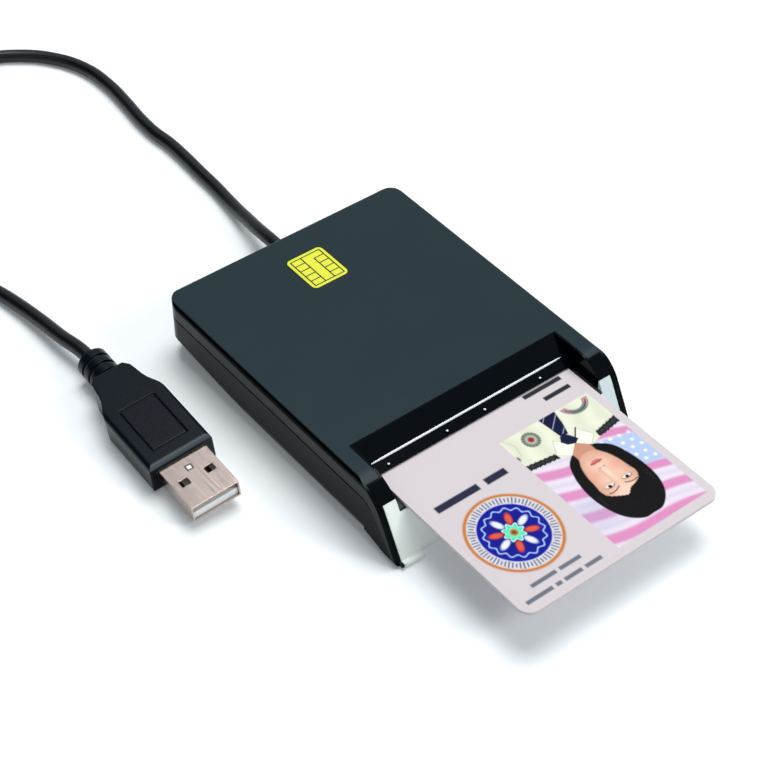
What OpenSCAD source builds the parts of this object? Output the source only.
// Smart card reader: a flat desktop reader with a card in its slot, on a lead with a plug.
// X runs across the body, the card goes in along +Y and Z is up. The origin is on the
// table, under the middle of the body and card. The free lead is drawn as it lies.

/* [Body] */
// Width of the body
body_w = 67.2; // [66.8:0.2:76]
// Length of the body, front edge to rear face
body_l = 87.4; // [86:0.2:100]
// Height of the top face over the table
body_h = 16.6; // [16.4:0.1:18]
// Gap between the underside and the table
base_gap = 0.6; // [0.4:0.1:1]
// Wall thickness of the shells at the top and the bottom
wall_t = 1.4; // [1.2:0.1:1.5]
// Wall thickness of the shells at the sides
side_wall = 1.6; // [1.3:0.1:1.7]
// Radius of the two rear corners, seen from above
corner_r = 5.5; // [4.5:0.5:7]
// Radius of the two front corners, seen from above
front_corner_r = 2; // [1.5:0.5:3]
// Radius where the top face turns into the sides
edge_r = 1.2; // [0.8:0.1:1.3]
// Radius where the underside turns up into the sides
under_r = 4.4; // [3:0.2:5.6]
// Width at the rear of the slope that takes off the lower edge of each side
keel_run = 7.6; // [6:0.2:8]
// Height of that slope at the rear
keel_rise = 8.4; // [5:0.2:9]
// Length over which that slope runs out towards the front
keel_l = 82; // [65:1:90]

/* [Seam] */
// Depth of the seam between the two shells under the top face
seam_drop = 4.2; // [3.8:0.1:4.6]
// Width of the shadow gap along the seam
seam_gap = 0.35; // [0.2:0.05:0.5]
// Radius of the seam where it turns down at the front
seam_r = 5; // [4:0.5:6]
// Slope of the seam down the front corner, in degrees
seam_angle = 54; // [52:1:56]

/* [Nose] */
// Radius of the curve from the top face to the sloping front
nose_r = 10; // [9:0.5:11]
// Slope of the front face, in degrees
nose_angle = 62; // [60:1:64]
// Length of the flange at the foot of the clear lip
flange_l = 1.3; // [1.1:0.1:1.6]
// Thickness of that flange
flange_t = 0.9; // [0.7:0.1:1.1]
// Thickness of the clear lip, square to its face
lip_t = 1.8; // [1.6:0.1:1.9]
// Depth of the thumb notch in the flange
notch_d = 1.7; // [1.2:0.1:2]
// Distance of the thumb notch's ends from the planes of the pocket's walls
notch_in = 2.1; // [1.1:0.1:5]
// Width of the gloss black rim beside the clear lip
rim_w = 0.8; // [0.6:0.1:0.9]
// Thickness of the matt skirt outside that rim
skirt_t = 0.9; // [0.7:0.1:1]

/* [Pocket] */
// Width of the rail on each side of the pocket
rail_w = 5; // [4.7:0.1:5.2]
// Length of the level part of the rails, from the pocket's rear edge to the nose's curve
rail_flat = 7.65; // [7.2:0.05:8]
// Length of the ramp down to the slot
ramp_l = 7.4; // [7:0.1:7.8]
// Length of the matt part of the rails, from the pocket's rear edge
rail_l = 10.9; // [10.5:0.1:11.2]
// Length of the gloss part of the rails
gloss_l = 4.4; // [4:0.1:4.6]
// Width of the gloss edge seen along the pocket's sides
lining_t = 0.5; // [0.3:0.05:0.7]
// Wall thickness of the gloss frame
frame_t = 1; // [0.8:0.1:1.1]

/* [Card] */
// Gap between the card's edges and the pocket's walls, which sets the card's width
card_side = 1.6; // [1.5:0.05:1.7]
// Length of the card
card_l = 85.6; // [85.4:0.1:85.8]
// Thickness of the card
card_t = 0.76; // [0.68:0.02:0.84]
// Radius of the card's corners
card_r = 3.2; // [2.8:0.1:3.5]
// Depth of the card's upper face under the top face
card_drop = 4.9; // [4.8:0.1:5]
// Share of the room behind its contacts that the seated card takes
seat_share = 0.245; // [0.2:0.005:0.26]
// Clearance beside the card in its guides
guide_gap = 0.35; // [0.25:0.05:0.45]
// Clearance under the card
card_play = 0.12; // [0.1:0.01:0.2]
// Thickness of the plate that the card slides on
tray_t = 1.4; // [1.2:0.1:1.5]

/* [Board] */
// Thickness of the circuit board
board_t = 0.8; // [0.7:0.1:0.9]
// Thickness of the contact block
block_t = 1.3; // [1.2:0.1:1.4]
// Clearance between the card and the contact block
block_gap = 0.3; // [0.2:0.05:0.35]
// Radius of the self-tapping screws
screw_r = 0.8; // [0.7:0.05:0.9]

/* [Lead] */
// Diameter of the lead
cord_d = 3.5; // [3.2:0.1:3.6]
// Where the lead leaves the rear face, from the middle
exit_x = 4; // [3:0.5:5]
// Height of the lead where it leaves the rear face
exit_z = 6.5; // [6.4:0.1:7]
// Length of the strain relief outside the rear face
relief_l = 6.1; // [5.8:0.1:6.6]
// Radius of the put-away coil's outer turn
coil_out = 27.1; // [26:0.1:28]
// Clear gap between the turns of the coil
coil_gap = 0.55; // [0.5:0.05:0.6]

/* [Plug] */
// Width of the plug's grip
grip_w = 16; // [15:0.5:17]
// Thickness of the plug's grip
grip_h = 8; // [7.6:0.2:8.4]
// Length of the straight part of the grip
grip_l = 18.6; // [17:0.1:22]
// Length of the tapered neck behind it
neck_l = 12.8; // [10:0.1:14]
// Length of the ribbed collar
collar_l = 8.4; // [7:0.1:9]
// Diameter of the ribbed collar
collar_d = 7.6; // [7:0.2:7.8]
// Width of the metal shell
shell_w = 12; // [11.8:0.1:12.1]
// Thickness of the metal shell
shell_h = 4.5; // [4.4:0.05:4.6]
// Length of the metal shell outside the grip
shell_l = 13.6; // [13:0.1:14]
// Sheet thickness of the metal shell
shell_t = 0.3; // [0.25:0.05:0.35]

/* [Hidden] */
$fn = 48;

// One overrun serves every cut; fit is the gap between pieces that are fastened together
over = 1;
fit = 0.1;

// The card's free end and the strain relief's tip are the two ends of the part, and the
// origin lies midway between them
seam_z = body_h - seam_drop;
card_z = body_h - card_drop;
flange_low = base_gap - 2 * fit;
toe_z = flange_low + flange_t;
pocket_front = flange_l + nose_run(body_h, nose_r, nose_angle, toe_z) + rail_flat;
pad_rows = [11.25, 18.87];
seat_l = pad_rows[1] + seat_share * (body_l - pocket_front - pad_rows[1]);
rear_l = body_l - pocket_front - seat_l;
back_y = (rear_l + card_l - relief_l) / 2;
front_y = back_y - body_l;
inner_x = body_w / 2 - side_wall;
inner_y = back_y - side_wall;
inner_r = 0.4;
floor_z = base_gap + wall_t;
ceiling_z = body_h - wall_t;

// Front: a flange just over the table, the sloping face over it, skirt and rim beside it
toe_y = front_y + flange_l;
toe_l = 12;
toe_keep = 2;
toe_bevel_share = 0.586;
toe_r = 1;
seam_toe = 1.9;
skirt_x = body_w / 2 - skirt_t;
lip_x = skirt_x - rim_w;
lip_gap = lip_t + fit;

// Pocket, ramp and slot
pocket_x = body_w / 2 - rail_w;
notch_w = 2 * (pocket_x - notch_in);
pocket_back = front_y + pocket_front;
matt_end = pocket_back - rail_l;
gloss_end = matt_end - gloss_l;
slot_y = pocket_back - ramp_l;
slot_z = card_z + block_gap;
step_share = 0.66;
ramp_step = 0.35;
ramp_edge = 0.25;
ramp_rest = 1.2;
rib_w = 0.7;
rib_h = 0.9;
rib_in = 0.4;
rib_l = 1.2;
rib_shares = [-0.82, -0.26, 0.11, 0.67];
tongue_l = 1.8;
skin_t = 1.4;

// Card, its guides and the plate under it
card_w = 2 * (pocket_x - card_side);
card_front = back_y - rear_l;
card_back = card_front - card_l;
card_low = card_z - card_t;
tray_z = card_low - card_play;
tray_low = tray_z - tray_t;
nosing_t = 0.5;
guide_x = card_w / 2 + guide_gap;
guide_t = 0.85;
guide_top = card_z + 2 * fit;
tray_back = card_front + 1.4;
stop_h = 1;
stop_shares = [-0.796, 0.296];
stop_x = [for (share = stop_shares) share * card_w / 2];

// The card's contact plate lies at the places that its standard fixes
module_w = 12;
module_l = 13;
module_t = 0.3;
module_r = 1.5;
module_line = 0.25;
pad_step = 2.54;
pad_x = 3.1;
pad_y = card_front - (pad_rows[0] + pad_rows[1]) / 2;

// Circuit board on four posts over the card
block_low = card_z + block_gap;
board_low = block_low + block_t;
board_top = board_low + board_t;
board_inset = 7.6;
board_back = inner_y - board_inset;
board_front = pocket_back + tongue_l + 3 * fit;
board_l = board_back - board_front;
post_r = 1.5;
post_gap = 0.6;
post_x = inner_x - post_gap - post_r;
board_x = post_x + post_r;
post_in = 3.5;
posts = [for (s = [-1, 1], y = [board_front + post_in, board_back - post_in]) [s * post_x, y]];
bore_r = screw_r + fit / 2;
hole_r = screw_r + 3 * fit;
screw_l = 5;
head_r = 1.5;
head_t = 0.8;
drive_w = 0.4;

// Contact block and its bent springs
block_x = 11;
block_share = 0.333;
block_y = block_share * seat_l;
slot_w = 1.3;
slot_l = 6.2;
slot_in = 1.4;
spring_w = 0.8;
spring_t = 0.15;
spring_l = 4.6;
spring_foot = 0.4;
spring_flat_share = 0.74;
spring_top_gap = 0.35;
touch_gap = 0.05;

// Switch that feels the card's leading edge
switch_share = -0.573;
switch_x = switch_share * board_x;
switch_y = card_front + 4.2;
lever_low = tray_z + 0.25;
lever_t = 0.9;
lever_l = 8;
lever_w = 1.2;
lever_angle = -24;
pin_r = 0.45;
pin_head = 0.35;
hub_r = 1.2;
switch_gap = 0.15;
switch_left = 2.5;
switch_right = 5;
switch_before = 1.6;
switch_behind = 3;

// Parts on the board's underside
chip_share = -0.19;
chip_x = chip_share * board_x;
chip_y = (tray_back + board_back) / 2;
chip_w = 7;
chip_t = 1.4;
chip_lift = 0.1;
chip_dot = 1;
lead_pitch = 0.8;
lead_w = 0.3;
lead_l = 1;
lead_t = 0.15;
crystal_share = 0.59;
crystal_in = 8;
crystal_x = crystal_share * board_x;
crystal_y = board_back - crystal_in;
crystal_w = 10.4;
crystal_l = 4.4;
crystal_t = 3.2;
spot_shares = [[-0.66, 0.06], [-0.74, 0.06], [-0.45, 0.62], [-0.45, 0.7], [0.6, 0.52],
    [0.66, 0.52], [0.72, 0.52], [0.6, 0.64], [0.68, 0.64], [0.62, 0.76]];
spot_w = 1.2;
spot_l = 2;
spot_t = 0.6;
diode_shares = [-0.66, 0.54];
diode_w = 4;
diode_l = 3.5;
diode_t = 1.2;
led_w = 1.3;
led_l = 1.4;
led_t = 1.6;
leg_w = 1.5;
leg_t = 0.8;
leg_gap = 0.3;
leg_in = 1.6;
leg_end = 1.9;

// Socket for the lead's wires under the board
socket_share = 0.223;
socket_gap_share = 0.4;
tail_l = 11.5;
tail_front = inner_y - tail_l;
socket_x = socket_share * board_x;
socket_w = 8;
socket_l = 4.5;
header_out = 2.2;
socket_gap = socket_gap_share * (tail_front - tray_back - socket_l - header_out);
socket_y = tray_back + socket_gap + socket_l;
socket_h = 3.4;
socket_wall = 0.8;
socket_mouth = 3;
wire_r = 0.45;
wire_pitch = 1.4;
wire_close = 0.95;
wire_tints = ["#b3261e", "#e9e7e0", "#2e7d46", "#16181a"];

// Screws that close the case turn up through pillars into bosses
boss_r = 2.5;
boss_share = 0.4;
boss_z = floor_z + boss_share * (tray_low - floor_z);
pillar_r = 3.5;
case_head_r = 1.9;
case_head_t = 1.2;
sink_r = case_head_r + 3 * fit;
sink_t = 2;
case_tip_gap = 1.5;
case_screw_l = tray_low - case_tip_gap - (base_gap + sink_t - case_head_t);
rear_screw_in = [8.6, 4.1];
front_screw_in = [10, 13.7];
rear_screw = [inner_x - rear_screw_in[0], inner_y - rear_screw_in[1]];
front_screw = [inner_x - front_screw_in[0], front_y + front_screw_in[1]];
case_screw_spots = [for (s = [-1, 1], p = [rear_screw, front_screw]) [s * p[0], p[1]]];
tray_post_share = 0.71;
tray_post_x = tray_post_share * (guide_x + guide_t);
tray_post_in = 2;
foot_r = 4;
foot_in = 0.4;
foot_edge = 0.3;
foot_x = body_w / 2 - keel_run - foot_r;
foot_back = 15.2;
foot_front = 23.2;
foot_spots = [for (s = [-1, 1], y = [back_y - foot_back, front_y + foot_front])
    [s * foot_x, y]];
clip_l = 6;
clip_t = 0.5;
clip_down = 2.4;
clip_up = 0.6;
clip_shares = [0.5, 0.75];

// Inlay on the top face, shaped like a contact plate
emblem_w = 10;
emblem_l = 11.7;
emblem_t = 0.5;
emblem_proud = 0.1;
emblem_in = 14.2;
emblem_y = back_y - emblem_in;
emblem_r = 1.3;
emblem_edge = 0.75;
emblem_line = 0.3;
emblem_bar_shares = [-0.11, 0.12];

// Lead, its strain relief and its clamp inside the case
cord_r = cord_d / 2;
tail_back = back_y + relief_l;
bush_bore = cord_r + fit / 2;
bush_neck = cord_r + 0.75;
bush_flange = cord_r + 1.9;
bush_flange_t = 1.2;
seat_r = bush_flange + 2 * fit;
bush_rib = 0.45;
clamp_in = 8.6;
clamp_y = inner_y - clamp_in;
clamp_w = 14;
clamp_l = 3.6;
clamp_t = 1.4;
clamp_arch = 1.2;
clamp_screw_x = 4.6;

// The lead's route, in points: over the table from the relief to the coil, and from the
// coil to the plug
rear_route = [[4, 63, 6.5], [4, 64.2, 6.5], [4.1, 66.8, 6.4], [4.35, 70, 5.95],
    [5, 75, 4.95], [5.9, 80, 3.8], [6.85, 86, 2.6], [7.65, 92, 1.95], [8.25, 98, 1.75],
    [8.55, 105, 1.75], [9, 113, 1.75], [9.1, 120, 1.75],
    [8.6, 126, 1.75], [8.8, 133, 1.75], [9.8, 142, 1.75], [10.5, 152, 1.75],
    [9.5, 162, 1.75], [5.5, 171, 1.75], [-1.5, 178.5, 1.75], [-11, 183.7, 1.75],
    [-22, 186.8, 1.75], [-34, 188, 1.75], [-46, 188.1, 1.75], [-54.5, 188.1, 1.75]];
front_route = [[-85.1, 157.5, 5.8], [-85.1, 156.3, 5.8], [-85, 153, 5.6], [-84.4, 147.5, 4.6], [-82.8, 141, 3],
    [-79.8, 134, 2], [-75.5, 127.5, 1.75], [-69.5, 120, 1.75], [-63.5, 112.5, 1.75],
    [-58.8, 105, 1.75], [-56, 97, 1.8], [-54.4, 89, 2.1], [-53.5, 80, 2.9],
    [-53, 71, 3.9], [-52.35, 65, 4.6], [-52.18, 61.3, 4.7], [-52.26, 59.3, 4.7],
    [-52.34, 57.3, 4.7]];
lead_dy = tail_back - rear_route[0][1];

// The plug lies on the table beside the reader, turned a little and leaning on one edge
plug_turn = -2.4;
plug_lean = -6;
plug_x = -53.93;
plug_from = 19.54;
grip_edge = 1.2;
plug_z = (grip_h / 2 - grip_edge) * cos(plug_lean)
    + (grip_w / 2 - grip_edge) * abs(sin(plug_lean)) + grip_edge;
grip_y = plug_from + lead_dy;
neck_y = grip_y + grip_l;
collar_y = neck_y + neck_l;
plug_end = collar_y + collar_l;
shell_front = grip_y - shell_l;
shell_in = 3;
neck_shares = [[1, 0], [0.985, 0.08], [0.93, 0.18], [0.83, 0.3], [0.75, 0.42],
    [0.7, 0.55], [0.67, 0.7], [0.62, 0.88]];
collar_cut = 0.5;
collar_ribs = 3;
cord_in = 2;
panel_w = 9.2;
panel_l = 14.8;
panel_y = 4;
panel_line = 0.3;
hole_w = 2.3;
hole_l = 2;
hole_x = 3.2;
hole_y = 6.1;
tongue_t = 1.9;
tongue_in = 0.6;
contact_w = 1;
contact_t = 0.2;
contact_xs = [-3.5, -1, 1, 3.5];
contact_starts = [1.2, 2.2, 2.2, 1.2];

cord_sides = 8;
wire_sides = 6;

// Rectangle with its two lower and its two upper corners rounded alike
module round_box(x0, x1, y0, y1, r_low, r_high) {
    translate([x0, y0 + r_low]) square([x1 - x0, y1 - y0 - r_low - r_high]);
    translate([x0 + r_low, y0]) square([x1 - x0 - 2 * r_low, 2 * r_low]);
    translate([x0 + r_high, y1 - 2 * r_high]) square([x1 - x0 - 2 * r_high, 2 * r_high]);
    for (x = [x0 + r_low, x1 - r_low]) translate([x, y0 + r_low]) circle(r_low);
    for (x = [x0 + r_high, x1 - r_high]) translate([x, y1 - r_high]) circle(r_high);
}

// Distance from a nose's foot to the end of its arc at the top
function nose_run(top, r, angle, foot_z) =
    (top - r * (1 - cos(angle)) - foot_z) / tan(angle) + r * sin(angle);

// Side outline of a nose: a flat top, an arc and a sloping face, moved in by an inset
module nose(top, r, angle, foot_y, foot_z, inset) {
    centre_z = top - r;
    centre_y = foot_y + nose_run(top, r, angle, foot_z);
    end_y = centre_y - (r - inset) * sin(angle);
    end_z = centre_z + (r - inset) * cos(angle);
    polygon([[body_l, -body_h], [body_l, top - inset], [centre_y, top - inset],
        [centre_y, centre_z], [end_y, end_z],
        [end_y - (end_z + body_h) / tan(angle), -body_h]]);
    intersection() {
        translate([centre_y, centre_z]) circle(r - inset);
        translate([centre_y - r, centre_z]) square([2 * r, 2 * r]);
    }
}

// Carry an outline drawn in Y and Z across a width
module across(w, x = 0) {
    translate([x, 0, 0]) rotate([90, 0, 90]) linear_extrude(w, center = true) children();
}

// Carry an outline drawn in X and Z along Y
module lengthwise(y0, y1) {
    translate([0, y1, 0]) rotate([90, 0, 0]) linear_extrude(y1 - y0) children();
}

// Box between two corners
module block(a, b) {
    translate(a) cube(b - a);
}

// Block on one side of the body, between two distances from the middle
module side_block(s, x0, x1, y0, y1, z0, z1) {
    block([min(s * x0, s * x1), y0, z0], [max(s * x0, s * x1), y1, z1]);
}

// Cylinder along Z between two heights
module rod(p, z0, z1, r) {
    translate([p[0], p[1], z0]) cylinder(h = z1 - z0, r = r);
}

// Cylinder along Y between two places
module bar(x, z, y0, y1, r) {
    translate([x, y0, z]) rotate([-90, 0, 0]) cylinder(h = y1 - y0, r = r);
}

// Everything behind the front face moved in by a depth
module behind_face(depth) {
    across(2 * body_w) nose(body_h, nose_r, nose_angle, toe_y, toe_z, depth);
}

// Form of the whole case, or the same form moved in by a side wall, a top wall and a floor
module case_form(side, top, low) {
    half = body_w / 2 - side;
    rear = back_y - side;
    rt = max(edge_r - side, inner_r);
    rl = max(under_r - side, inner_r);
    high = body_h - top;
    intersection() {
        linear_extrude(3 * body_h, center = true) round_box(-half, half, front_y + side, rear,
            front_corner_r, corner_r - side);
        behind_face(top);
        across(2 * body_w) round_box(-2 * body_l, rear, low, high, rl, rt);
        union() {
            lengthwise(front_y - over, front_y + toe_l)
                round_box(-half, half, low, high, min(toe_r, rl), rt);
            lengthwise(front_y + toe_l, back_y + over) round_box(-half, half, low, high,
                rl, rt);
        }
    }
}

// Everything under the seam, which runs level and then turns down at the front
module below_seam(top) {
    across(2 * body_w) nose(top, seam_r, seam_angle, front_y + seam_toe, base_gap, 0);
}

// Outline of the front, rounded at its two corners and moved in from each side
module front_plan(x) {
    linear_extrude(3 * body_h, center = true) round_box(-x, x, front_y, 2 * body_l,
        front_corner_r, front_corner_r);
}

// Wedge that takes the lower corner off the toe, so that the rolled side runs out in it
module toe_wedge(s) {
    low = base_gap - over;
    x = s * (body_w / 2 + over);
    y = front_y + toe_l;
    full = toe_bevel_share * under_r + 2 * over;
    part = 2 * over / full;
    tip = (front_y + toe_keep - part * y) / (1 - part);
    polyhedron([[x, tip, low], [x, y, low], [x - s * full, y, low], [x, y, low + full]],
        s > 0 ? [[0, 1, 2], [0, 3, 1], [0, 2, 3], [1, 3, 2]]
        : [[0, 2, 1], [0, 1, 3], [0, 3, 2], [1, 2, 3]]);
}

// Slope that takes the lower edge off a side, deepest at the rear, or the same slope moved
// in by a wall
module keel_wedge(s, wall) {
    share = 1 + wall * norm([1 / keel_run, 1 / keel_rise, 1 / keel_l]);
    low = base_gap - over;
    x = s * (body_w / 2 + over);
    y = back_y + over;
    polyhedron([[x, y - share * keel_l, low], [x, y, low], [x - s * share * keel_run, y, low],
        [x, y, low + share * keel_rise]],
        s > 0 ? [[0, 1, 2], [0, 3, 1], [0, 2, 3], [1, 3, 2]]
        : [[0, 2, 1], [0, 1, 3], [0, 3, 2], [1, 2, 3]]);
}

module bottom_case() {
    hole = bush_neck + fit;
    color("#2b3439") {
        difference() {
            intersection() {
                case_form(0, 0, base_gap);
                below_seam(seam_z - seam_gap / 2);
            }
            difference() {
                intersection() {
                    case_form(side_wall, -over, floor_z);
                    behind_face(lip_gap + wall_t);
                }
                for (s = [-1, 1]) keel_wedge(s, side_wall);
            }
            for (s = [-1, 1]) keel_wedge(s, 0);
            // the front is cut back for the clear lip, the rims and the plate
            difference() {
                block([-skirt_x, front_y - over, -over], [skirt_x, gloss_end, body_h]);
                behind_face(lip_gap);
            }
            block([-skirt_x, front_y - over, tray_low - fit], [skirt_x, matt_end, body_h]);
            for (s = [-1, 1]) toe_wedge(s);
            for (p = foot_spots) rod(p, 0, base_gap + foot_in, foot_r + fit);
            for (p = case_screw_spots) rod(p, 0, base_gap + sink_t, sink_r);
            bar(exit_x, exit_z, inner_y - over, back_y + over, hole);
            bar(exit_x, exit_z, inner_y - 2 * bush_flange_t - fit, inner_y, seat_r);
        }
        // flat seat for the strain relief in the curved wall
        difference() {
            bar(exit_x, exit_z, inner_y, back_y, seat_r);
            bar(exit_x, exit_z, inner_y - over, back_y + over, hole);
        }
        // posts under the board and the plate, and pillars for the screws
        for (p = posts) difference() {
            rod(p, floor_z - fit, board_low, post_r);
            rod(p, board_low - screw_l - 2 * fit, board_low + over, bore_r);
        }
        for (s = [-1, 1]) rod([s * tray_post_x, tray_back - tray_post_in], floor_z - fit,
            tray_low, post_r);
        for (p = case_screw_spots) difference() {
            rod(p, base_gap + foot_in, boss_z, pillar_r);
            rod(p, 0, base_gap + sink_t, sink_r);
            rod(p, 0, boss_z + over, screw_r + 3 * fit);
        }
        // saddle that carries the lead
        difference() {
            block([exit_x - clamp_w / 2, clamp_y - clamp_l / 2, floor_z - fit],
                [exit_x + clamp_w / 2, clamp_y + clamp_l / 2, exit_z]);
            bar(exit_x, exit_z, clamp_y - clamp_l, clamp_y + clamp_l, cord_r + fit / 2);
            for (s = [-1, 1]) rod([exit_x + s * clamp_screw_x, clamp_y],
                exit_z - screw_l + clamp_t, exit_z + over, bore_r);
        }
    }
}

module top_cover() {
    color("#333d44") {
        difference() {
            case_form(0, 0, base_gap);
            below_seam(seam_z + seam_gap / 2);
            // the room inside ends at the matt rails; the skirts in front of it are solid
            difference() {
                intersection() {
                    case_form(side_wall, wall_t, base_gap);
                    behind_face(wall_t);
                }
                block([-body_w, front_y - over, -over], [body_w, matt_end, body_h]);
            }
            block([-pocket_x - lining_t, front_y - over, 0],
                [pocket_x + lining_t, pocket_back, body_h + over]);
            block([-skirt_x, front_y - over, 0], [skirt_x, matt_end, body_h + over]);
            translate([0, 0, body_h - emblem_t + emblem_proud]) linear_extrude(emblem_t)
                emblem_outline(fit / 2);
        }
        for (s = [-1, 1]) difference() {
            rod([s * rear_screw[0], rear_screw[1]], boss_z, ceiling_z + fit, boss_r);
            rod([s * rear_screw[0], rear_screw[1]], boss_z - over, ceiling_z - over, bore_r);
        }
        // tabs that reach down inside the lower shell
        for (s = [-1, 1], share = clip_shares) {
            x = inner_x - fit;
            y = front_y + share * body_l;
            side_block(s, x - clip_t, x, y, y + clip_l, seam_z - clip_down, seam_z + clip_up);
            side_block(s, x - clip_t, inner_x + fit, y, y + clip_l, seam_z + seam_gap,
                seam_z + clip_up);
        }
    }
}

// Gloss black frame: the ramp over the slot, the pocket's side walls and the front rims
module gloss_frame() {
    frame_x = pocket_x + frame_t;
    step_y = pocket_back - step_share * ramp_l;
    step_z = body_h - step_share * (body_h - slot_z);
    tongue_low = board_top + 2 * fit;
    tongue_top = ceiling_z - fit;
    color("#0b0f14") {
        across(2 * (pocket_x - fit)) polygon([[pocket_back - fit, body_h - fit],
            [step_y, step_z], [step_y, step_z - ramp_step], [slot_y, slot_z + ramp_edge],
            [slot_y, slot_z], [slot_y + ramp_rest, slot_z],
            [pocket_back - fit, tongue_low]]);
        // small moulded ribs at the foot of the ramp
        for (share = rib_shares) translate([share * pocket_x, 0, 0]) block(
            [-rib_w / 2, slot_y + rib_in, slot_z], [rib_w / 2, slot_y + rib_l, slot_z + rib_h]);
        // tongue that hooks under the cover behind the pocket
        block([-frame_x, pocket_back - fit - over, tongue_low],
            [frame_x, pocket_back + tongue_l, tongue_top]);
        for (s = [-1, 1]) {
            // pocket walls, under the matt rails and then up to the face
            intersection() {
                behind_face(wall_t + fit);
                side_block(s, pocket_x, frame_x, gloss_end, pocket_back - fit, tray_low,
                    tongue_top);
            }
            side_block(s, pocket_x, frame_x, pocket_back - over, pocket_back + tongue_l,
                tongue_low, tongue_top);
            intersection() {
                behind_face(0);
                side_block(s, pocket_x, frame_x, gloss_end, matt_end - fit, tray_low, body_h);
            }
            intersection() {
                behind_face(0);
                side_block(s, pocket_x, pocket_x + lining_t - fit / 2, gloss_end,
                    pocket_back - fit, tray_low, body_h);
            }
            // gloss rails, a skin along the front face
            difference() {
                intersection() {
                    behind_face(0);
                    side_block(s, pocket_x, skirt_x - fit, gloss_end, matt_end - fit,
                        tray_low, body_h);
                }
                behind_face(skin_t);
            }
            // rims beside the clear lip, down to the toe
            difference() {
                intersection() {
                    behind_face(0);
                    side_block(s, lip_x + fit, skirt_x - fit, front_y, gloss_end + fit,
                        base_gap, body_h);
                    front_plan(body_w / 2);
                }
                behind_face(lip_t);
            }
            intersection() {
                side_block(s, lip_x + fit, skirt_x - fit, front_y, toe_y + lip_t - fit,
                    base_gap, toe_z);
                front_plan(body_w / 2);
            }
        }
    }
}

// Clear front piece: a curved shell with a flange, and two legs that lead light forward
module light_lip() {
    leg_x = pocket_x + frame_t + leg_gap;
    shelf = tray_z - nosing_t - fit;
    color("#dfe8e6") {
        difference() {
            union() {
                difference() {
                    intersection() {
                        behind_face(0);
                        block([-lip_x, front_y, flange_low], [lip_x, gloss_end - fit, body_h]);
                    }
                    behind_face(lip_t);
                }
                block([-lip_x, front_y, flange_low], [lip_x, toe_y + lip_t - fit, toe_z]);
            }
            block([-pocket_x, front_y, shelf], [pocket_x, gloss_end, body_h]);
            block([-notch_w / 2, front_y - over, 0],
                [notch_w / 2, front_y + notch_d, body_h]);
            difference() {
                block([-body_w, front_y - over, 0], [body_w, toe_y, body_h]);
                front_plan(lip_x + rim_w);
            }
        }
        for (s = [-1, 1]) {
            side_block(s, leg_x, leg_x + leg_w, gloss_end - leg_in, board_front - fit,
                tray_low, tray_low + leg_t);
            side_block(s, leg_x, leg_x + leg_w, board_front - leg_end, board_front - fit,
                tray_low, board_low - leg_gap);
        }
    }
}

module card_tray() {
    outer_x = guide_x + guide_t;
    wide_x = pocket_x - fit;
    color("#3a4144") {
        intersection() {
            block([-wide_x, front_y, tray_low], [wide_x, slot_y, tray_z]);
            behind_face(lip_gap);
        }
        // thin nosing that covers the clear lip's upper edge
        intersection() {
            block([-wide_x, front_y, tray_z - nosing_t], [wide_x, slot_y, tray_z]);
            behind_face(fit / 2);
        }
        block([-outer_x, slot_y - fit, tray_low], [outer_x, tray_back, tray_z]);
        for (s = [-1, 1]) side_block(s, guide_x, outer_x, slot_y + guide_t, tray_back,
            tray_low, guide_top);
        // ribs that stop the card's leading edge
        block([stop_x[1], card_front + fit, tray_low], [outer_x, tray_back, tray_z + stop_h]);
        block([-outer_x, card_front + fit, tray_low], [stop_x[0], tray_back, tray_z + stop_h]);
        for (s = [-1, 1]) difference() {
            rod([s * front_screw[0], front_screw[1]], boss_z, tray_low + fit, boss_r);
            rod([s * front_screw[0], front_screw[1]], boss_z - over, tray_low - 2 * fit,
                bore_r);
        }
    }
}

// Outline of the inlay, grown by a gap for the recess that takes it
module emblem_outline(gap) {
    w = emblem_w / 2 + gap;
    l = emblem_l / 2 + gap;
    translate([0, emblem_y]) round_box(-w, w, -l, l, emblem_r, emblem_r);
}

// Yellow inlay with the lines of a contact plate cut into it
module chip_emblem() {
    x1 = emblem_w / 2 - emblem_edge;
    y0 = -emblem_l / 2 + emblem_edge;
    y1 = emblem_l / 2 - emblem_edge;
    cell = (y1 - y0) / 5;
    left = emblem_bar_shares[0] * emblem_w;
    right = emblem_bar_shares[1] * emblem_w;
    z = body_h + emblem_proud;
    color("#eef03a") difference() {
        translate([0, 0, z - emblem_t]) linear_extrude(emblem_t) emblem_outline(0);
        translate([0, emblem_y, z - emblem_t / 3]) linear_extrude(emblem_t) {
            difference() {
                translate([-x1, y0]) square([2 * x1, y1 - y0]);
                translate([-x1 + emblem_line, y0 + emblem_line])
                    square([2 * (x1 - emblem_line), y1 - y0 - 2 * emblem_line]);
            }
            translate([left - emblem_line, y0]) square([emblem_line, y1 - y0]);
            translate([right, y0]) square([emblem_line, 4 * cell + emblem_line / 2]);
            for (i = [1:4]) {
                translate([-x1, y0 + i * cell - emblem_line / 2])
                    square([left + x1, emblem_line]);
                translate([right, y0 + i * cell - emblem_line / 2])
                    square([x1 - right, emblem_line]);
            }
        }
    }
}

module rubber_feet() {
    color("#1b1d1f") for (p = foot_spots) {
        rod(p, foot_edge, base_gap + foot_in, foot_r);
        translate([p[0], p[1], 0]) cylinder(h = foot_edge, r1 = foot_r - foot_edge, r2 = foot_r);
    }
}

// Screw along Z: shank and round head with a cross cut in its face
module screw(p, z, up, length, head, t) {
    translate([p[0], p[1], z]) mirror([0, 0, up ? 0 : 1]) difference() {
        union() {
            cylinder(h = t, r = head);
            cylinder(h = length + t, r = screw_r);
        }
        for (turn = [0, 90]) rotate(turn) cube([1.3 * head, drive_w, t], center = true);
    }
}

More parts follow.
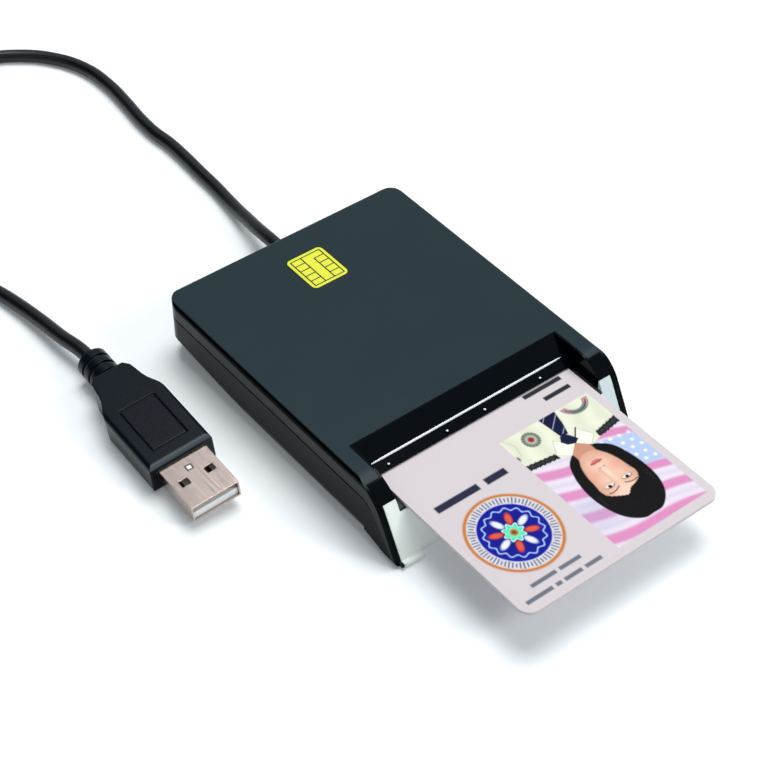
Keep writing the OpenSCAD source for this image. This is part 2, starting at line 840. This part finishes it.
module case_screws() {
    color("silver") for (p = case_screw_spots)
        screw(p, base_gap + sink_t - case_head_t, true, case_screw_l - case_head_t,
            case_head_r, case_head_t);
}

module circuit_board() {
    color("#1c6b3a") difference() {
        block([-board_x, board_front, board_low], [board_x, board_back, board_top]);
        for (p = posts) rod(p, board_low - over, board_top + over, hole_r);
    }
}

module board_screws() {
    color("silver") for (p = posts)
        screw(p, board_top + head_t, false, screw_l, head_r, head_t);
}

function spring_x(i) = pad_x + (i - 1.5) * pad_step;
function spring_y(j) = card_front - pad_rows[j];

// Black block over the card's contact plate, with a slot for each spring
module contact_block() {
    color("#17191b") difference() {
        block([pad_x - block_x, pad_y - block_y, block_low],
            [pad_x + block_x, pad_y + block_y, board_low]);
        for (i = [0:3], j = [0, 1]) translate([spring_x(i), spring_y(j), block_low])
            mirror([0, j, 0]) block([-slot_w / 2, -slot_in, -over],
                [slot_w / 2, slot_l - slot_in, block_t + over]);
    }
}

// Bent bronze strips: a foot on the board, and a bow that rests on the card
module contact_springs() {
    touch = card_z + touch_gap;
    high = board_low - spring_top_gap;
    bend = spring_flat_share * spring_l;
    rise = 2 * spring_t;
    color("#c9a14a") for (i = [0:3], j = [0, 1])
        translate([spring_x(i), spring_y(j), 0]) mirror([0, j, 0]) {
            across(spring_w) polygon([[spring_l, high], [bend, high], [rise, touch],
                [-rise, touch], [-2 * rise, touch + rise], [-2 * rise, touch + rise + spring_t],
                [-rise, touch + spring_t], [rise, touch + spring_t],
                [bend, high + spring_t], [spring_l, high + spring_t]]);
            block([-spring_w / 2, spring_l - spring_foot, high],
                [spring_w / 2, spring_l, board_low]);
        }
}

module switch_body() {
    color("#202326") block(
        [switch_x - switch_left, switch_y - switch_before, lever_low + lever_t + switch_gap],
        [switch_x + switch_right, switch_y + switch_behind, board_low]);
}

module switch_pin() {
    p = [switch_x, switch_y];
    color("silver") {
        rod(p, lever_low - fit, lever_low + lever_t + switch_gap, pin_r);
        rod(p, lever_low - fit - spring_t / 2, lever_low - fit, pin_r + pin_head);
    }
}

// Lever whose tip waits just behind the card's leading edge
module switch_lever() {
    color("#e8e6df") translate([switch_x, switch_y, lever_low]) difference() {
        union() {
            cylinder(h = lever_t, r = hub_r);
            rotate(lever_angle) {
                translate([0, -lever_w / 2, 0]) cube([lever_l, lever_w, lever_t]);
                translate([lever_l, 0, 0]) cylinder(h = lever_t, r = lever_w / 2);
            }
        }
        translate([0, 0, -over]) cylinder(h = lever_t + 2 * over, r = pin_r + fit / 2);
    }
}

module controller_chip() {
    z = board_low - chip_lift - chip_t;
    dot = chip_w / 2 - chip_dot;
    color("#15171a") difference() {
        block([chip_x - chip_w / 2, chip_y - chip_w / 2, z],
            [chip_x + chip_w / 2, chip_y + chip_w / 2, z + chip_t]);
        rod([chip_x - dot, chip_y - dot], z - over, z + chip_lift, chip_dot / 2);
    }
}

module chip_leads() {
    color("silver") for (turn = [0, 90, 180, 270], i = [-3:3])
        translate([chip_x, chip_y, 0]) rotate(turn) {
            y = i * lead_pitch;
            block([chip_w / 2, y - lead_w / 2, board_low - lead_t],
                [chip_w / 2 + lead_l, y + lead_w / 2, board_low]);
            block([chip_w / 2, y - lead_w / 2, board_low - chip_lift - chip_t / 2],
                [chip_w / 2 + lead_t, y + lead_w / 2, board_low]);
        }
}

module crystal_can() {
    r = crystal_l / 2 - fit;
    color("#c8ccd0") translate([crystal_x, crystal_y, board_low - crystal_t])
        linear_extrude(crystal_t) round_box(-crystal_w / 2, crystal_w / 2, -crystal_l / 2,
            crystal_l / 2, r, r);
}

// Small block under the board, placed by shares of its half width and its length
module board_part(shares, w, l, t) {
    x = shares[0] * board_x;
    y = board_back - shares[1] * board_l;
    block([x - w / 2, y - l / 2, board_low - t], [x + w / 2, y + l / 2, board_low]);
}

module small_parts() {
    color("#8a6a48") for (p = spot_shares) board_part(p, spot_w, spot_l, spot_t);
    color("#15171a") board_part(diode_shares, diode_w, diode_l, diode_t);
}

module status_leds() {
    x = pocket_x + frame_t + leg_gap + fit;
    color("#f2f4f6") for (s = [-1, 1]) side_block(s, x, x + led_w, board_front,
        board_front + led_l, board_low - led_t, board_low);
}

module wire_socket() {
    half = socket_w / 2;
    color("#f0ede4") difference() {
        block([socket_x - half, socket_y - socket_l, board_low - socket_h],
            [socket_x + half, socket_y, board_low]);
        block([socket_x - half + socket_wall, socket_y - socket_mouth,
            board_low - socket_h + socket_wall],
            [socket_x + half - socket_wall, socket_y + over, board_low - socket_wall]);
    }
}

module wire_plug() {
    half = socket_w / 2 - socket_wall - fit;
    color("#e3dfd2") block([socket_x - half, socket_y - socket_mouth + fit,
        board_low - socket_h + socket_wall + fit],
        [socket_x + half, socket_y + header_out, board_low - socket_wall - fit]);
}

// Four wires from the plug down to the lead's end
module lead_wires() {
    z = board_low - socket_h / 2;
    y = socket_y + header_out;
    mid = (y + tail_front) / 2;
    for (i = [0:3]) {
        x = socket_x + (i - 1.5) * wire_pitch;
        x_end = exit_x + (i - 1.5) * wire_close;
        color(wire_tints[i]) sweep([[x, y, z], [x, y + wire_r, z],
            [(x + x_end) / 2, mid, (z + exit_z) / 2], [x_end, tail_front - wire_r, exit_z],
            [x_end, tail_front, exit_z]], wire_r, wire_sides);
    }
}

module cord_tail() {
    color("#14171a") bar(exit_x, exit_z, tail_front, tail_back, cord_r);
}

// Rubber bush: a flange on each side of the wall, then a ribbed taper round the lead
module strain_relief() {
    out = back_y + fit + bush_flange_t;
    pitch = (tail_back - out) / 3;
    color("#1a1d20") translate([exit_x, 0, exit_z]) rotate([-90, 0, 0])
        rotate_extrude() polygon(concat([[bush_bore, inner_y - fit - bush_flange_t],
            [bush_flange, inner_y - fit - bush_flange_t], [bush_flange, inner_y - fit],
            [bush_neck, inner_y - fit], [bush_neck, back_y + fit],
            [bush_flange, back_y + fit], [bush_flange, out]],
            [for (i = [0:2]) let (r = bush_neck - i * bush_rib / 2, y = out + i * pitch)
                each [[r, y], [r, y + pitch / 2], [r + bush_rib, y + pitch / 2],
                    [r + bush_rib / 2, y + pitch]]],
            [[bush_bore, tail_back]]));
}

module cord_clamp() {
    y0 = clamp_y - clamp_l / 2;
    y1 = clamp_y + clamp_l / 2;
    color("#262b2f") difference() {
        union() {
            block([exit_x - clamp_w / 2, y0, exit_z + fit],
                [exit_x + clamp_w / 2, y1, exit_z + clamp_t]);
            bar(exit_x, exit_z, y0, y1, cord_r + clamp_arch);
        }
        bar(exit_x, exit_z, y0 - over, y1 + over, cord_r + fit / 2);
        block([exit_x - clamp_w, y0 - over, 0], [exit_x + clamp_w, y1 + over, exit_z + fit]);
        for (s = [-1, 1]) rod([exit_x + s * clamp_screw_x, clamp_y], exit_z - over,
            exit_z + 2 * clamp_t, hole_r - fit);
    }
}

module clamp_screws() {
    color("silver") for (s = [-1, 1])
        screw([exit_x + s * clamp_screw_x, clamp_y], exit_z + clamp_t + head_t, false,
            screw_l - 2 * fit, head_r, head_t);
}

function unit(v) = v / norm(v);
function heading(p, i) = i == 0 ? unit(p[1] - p[0])
    : i == len(p) - 1 ? unit(p[i] - p[i - 1]) : unit(p[i + 1] - p[i - 1]);

// Round tube with flat ends along a list of points
module sweep(points, r, sides) {
    n = len(points);
    rings = [for (i = [0:n - 1])
        let (t = heading(points, i), a = unit(cross([0, 0, 1], t)), b = cross(t, a))
        for (k = [0:sides - 1])
            points[i] + r * (cos(360 * k / sides) * a + sin(360 * k / sides) * b)];
    walls = [for (i = [0:n - 2], k = [0:sides - 1])
        let (p = i * sides + k, q = i * sides + (k + 1) % sides)
        each [[p, q, q + sides], [p, q + sides, p + sides]]];
    e = (n - 1) * sides;
    ends = [for (k = [1:sides - 2]) each [[0, k + 1, k], [e, e + k, e + k + 1]]];
    polyhedron(rings, concat(walls, ends));
}

// The route moves with the tip of the strain relief
function shifted(route) = [for (p = route) p + [0, lead_dy, 0]];

module cord_rear() {
    color("#14171a") sweep(shifted(rear_route), cord_r, cord_sides);
}

module cord_front() {
    color("#14171a") sweep(shifted(front_route), cord_r, cord_sides);
}

// The coil winds in on the table, climbs in the half turn where it reverses, and winds
// out on top. It enters at its rear side and leaves at its left side.
coil_x = -58;
coil_from = 161;
coil_y = coil_from + lead_dy;
coil_turns = 6.25;
coil_step = cord_d + coil_gap;
coil_rings = 24;
coil_sides = 6;
coil_n = round(coil_turns * coil_rings);
function coil_radius(u) = coil_out - coil_step * min(u, coil_turns - u);
function coil_height(u) = cord_r
    + coil_step * min(1, max(0, 2 * (u - coil_turns / 2) + 0.5));
function coil_point(u) = [
    coil_x + coil_radius(u) * cos(90 + 360 * u),
    coil_y + coil_radius(u) * sin(90 + 360 * u),
    coil_height(u)];
coil_points = concat([coil_point(0) + [cord_d, 0, 0]],
    [for (i = [0:coil_n]) coil_point(i / coil_rings)],
    [coil_point(coil_turns) - [0, cord_d, 0]]);
coil_apart = min([for (i = [0:coil_n], j = [i + coil_rings / 2:1:coil_n])
    norm(coil_points[i] - coil_points[j])]) - cord_d;
echo(coil_least_gap = coil_apart);

module cord_coil() {
    color("#14171a") sweep(coil_points, cord_r, coil_sides);
}

// Carries a piece drawn along the Y axis to the plug's place
module at_plug() {
    translate([plug_x, grip_y, plug_z]) rotate([0, 0, plug_turn]) rotate([0, plug_lean, 0])
        translate([0, -grip_y, 0]) children();
}

// Moulded grip of the plug: a block that narrows to a ribbed collar round the lead
module plug_grip() {
    half = grip_w / 2;
    neck = collar_d / 2;
    pitch = collar_l / collar_ribs;
    side = [for (p = neck_shares) [p[0] * half, neck_y + p[1] * neck_l]];
    color("#232a30") at_plug() difference() {
        union() {
            intersection() {
                linear_extrude(grip_h, center = true) polygon(concat([[half, grip_y]], side,
                    [[neck, collar_y], [-neck, collar_y]],
                    [for (i = [len(side) - 1:-1:0]) [-side[i][0], side[i][1]]],
                    [[-half, grip_y]]));
                lengthwise(grip_y, collar_y) round_box(-half, half, -grip_h / 2, grip_h / 2,
                    grip_edge, grip_edge);
                across(grip_w) round_box(grip_y, 2 * collar_y, -grip_h / 2, grip_h / 2,
                    grip_edge, grip_edge);
            }
            translate([0, collar_y, 0]) rotate([-90, 0, 0]) rotate_extrude()
                polygon(concat([[0, -collar_cut]],
                    [for (i = [0:collar_ribs - 1]) each [
                        [neck - collar_cut, i * pitch - (i == 0 ? collar_cut : 0)],
                        [neck - collar_cut, (i + 0.25) * pitch],
                        [neck, (i + 0.25) * pitch], [neck, (i + 1) * pitch - fit],
                        [neck - collar_cut, (i + 1) * pitch]]],
                    [[0, collar_l]]));
        }
        block([-(shell_w + fit) / 2, grip_y - over, -(shell_h + fit) / 2],
            [(shell_w + fit) / 2, grip_y + shell_in + fit, (shell_h + fit) / 2]);
        bar(0, 0, plug_end - cord_in, plug_end + over, cord_r + fit / 2);
        // groove round the raised panel on the upper face
        translate([0, grip_y + panel_y, grip_h / 2 - panel_line]) difference() {
            block([-panel_w / 2, 0, 0], [panel_w / 2, panel_l, over]);
            block([-panel_w / 2 + panel_line, panel_line, -over],
                [panel_w / 2 - panel_line, panel_l - panel_line, 2 * over]);
        }
    }
}

module plug_shell() {
    w = shell_w / 2;
    h = shell_h / 2;
    y1 = grip_y + shell_in;
    color("#c8b4af") at_plug() difference() {
        block([-w, shell_front, -h], [w, y1, h]);
        block([-w + shell_t, shell_front - over, -h + shell_t],
            [w - shell_t, y1 + over, h - shell_t]);
        for (s = [-1, 1]) block([s * hole_x - hole_w / 2, shell_front + hole_y, -shell_h],
            [s * hole_x + hole_w / 2, shell_front + hole_y + hole_l, shell_h]);
    }
}

// One contact strip of the plug, let into the tongue
module contact_strip(i) {
    top = tongue_t + shell_t - shell_h / 2;
    x = contact_xs[i];
    block([x - contact_w / 2, shell_front + tongue_in + contact_starts[i], top - contact_t],
        [x + contact_w / 2, grip_y + shell_in - over, top]);
}

module plug_tongue() {
    half = shell_w / 2 - shell_t - fit / 2;
    low = shell_t - shell_h / 2;
    color("#f2f2ee") at_plug() difference() {
        block([-half, shell_front + tongue_in, low],
            [half, grip_y + shell_in, low + tongue_t]);
        for (i = [0:3]) contact_strip(i);
    }
}

module plug_contacts() {
    color("#c9a14a") at_plug() for (i = [0:3]) contact_strip(i);
}

// The card, seated, with a recess for its contact plate
module smart_card() {
    w = card_w / 2;
    color("#dddad8") difference() {
        translate([0, 0, card_low]) linear_extrude(card_t)
            round_box(-w, w, card_back, card_front, card_r, card_r);
        translate([pad_x, pad_y, card_z - module_t]) linear_extrude(card_t)
            round_box(-module_w / 2, module_w / 2, -module_l / 2, module_l / 2,
                module_r, module_r);
    }
}

module card_module() {
    w = module_w / 2 - fit / 2;
    l = module_l / 2 - fit / 2;
    bar = (pad_rows[1] - pad_rows[0]) / 5;
    color("#d9b45a") translate([pad_x, pad_y, card_z - module_t]) difference() {
        linear_extrude(module_t) round_box(-w, w, -l, l, module_r, module_r);
        translate([0, 0, module_t / 2]) linear_extrude(module_t) {
            for (s = [-1, 1]) translate([-w, s * bar - module_line / 2])
                square([2 * w, module_line]);
            for (i = [-1, 0, 1], s = [-1, 1])
                translate([i * pad_step - module_line / 2, min(s * bar, s * l)])
                square([module_line, l - bar]);
        }
    }
}

bottom_case();
top_cover();
gloss_frame();
light_lip();
card_tray();
chip_emblem();
rubber_feet();
case_screws();
circuit_board();
board_screws();
contact_block();
contact_springs();
switch_body();
switch_pin();
switch_lever();
controller_chip();
chip_leads();
crystal_can();
small_parts();
status_leds();
wire_socket();
wire_plug();
lead_wires();
cord_tail();
strain_relief();
cord_clamp();
clamp_screws();
cord_rear();
cord_coil();
cord_front();
plug_grip();
plug_shell();
plug_tongue();
plug_contacts();
smart_card();
card_module();
